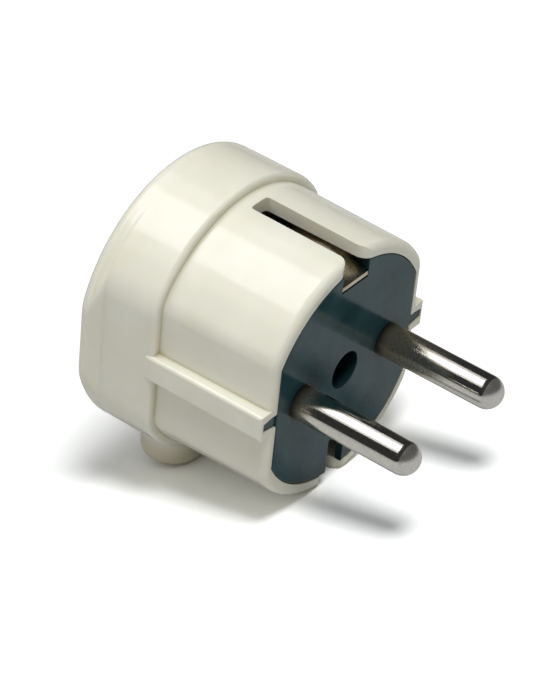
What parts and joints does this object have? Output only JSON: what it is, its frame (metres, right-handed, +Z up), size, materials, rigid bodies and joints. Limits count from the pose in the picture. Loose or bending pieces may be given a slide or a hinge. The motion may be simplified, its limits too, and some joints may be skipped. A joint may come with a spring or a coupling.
{
  "type": "type f plug",
  "caption": "Rewirable angled mains plug: round ivory housing with side flats and ribs, dark contact carrier, round pins, sprung earth strap and a cable outlet at the side.",
  "frame": {"origin": "Middle of the bottom of the bounding box of the plug at rest on a table.", "axes": "+Z is up. X runs through both pins. The pins point to -Y and down by the resting tilt of 15.98 degrees, because the plug lies on the rim of its nose and on its cable outlet."},
  "size_m": [0.0396, 0.0528, 0.0456],
  "materials": {
    "shell": "glossy ivory thermoset moulding",
    "carrier": "glossy dark blue-grey moulding",
    "pin_plating": "nickel plating on solid brass",
    "strap_plating": "nickel-plated spring bronze, slightly dulled",
    "screw_steel": "zinc-plated steel",
    "insert_brass": "turned brass",
    "retainer_moulding": "pressed phenolic plate",
    "clamp_moulding": "moulded clamp bar"
  },
  "bodies": {
    "root": {"housing": "shell", "contact_carrier": "carrier", "pin_left": "pin_plating", "pin_right": "pin_plating", "earth_strap": "strap_plating", "earth_clamp_plate": "screw_steel", "earth_screw": "screw_steel", "pin_screw_left": "screw_steel", "pin_screw_right": "screw_steel", "assembly_screw": "screw_steel", "clamp_screw_left": "screw_steel", "clamp_screw_right": "screw_steel", "threaded_insert": "insert_brass", "pin_retainer": "retainer_moulding", "cord_clamp_bar": "clamp_moulding"}
  },
  "joints": []
}
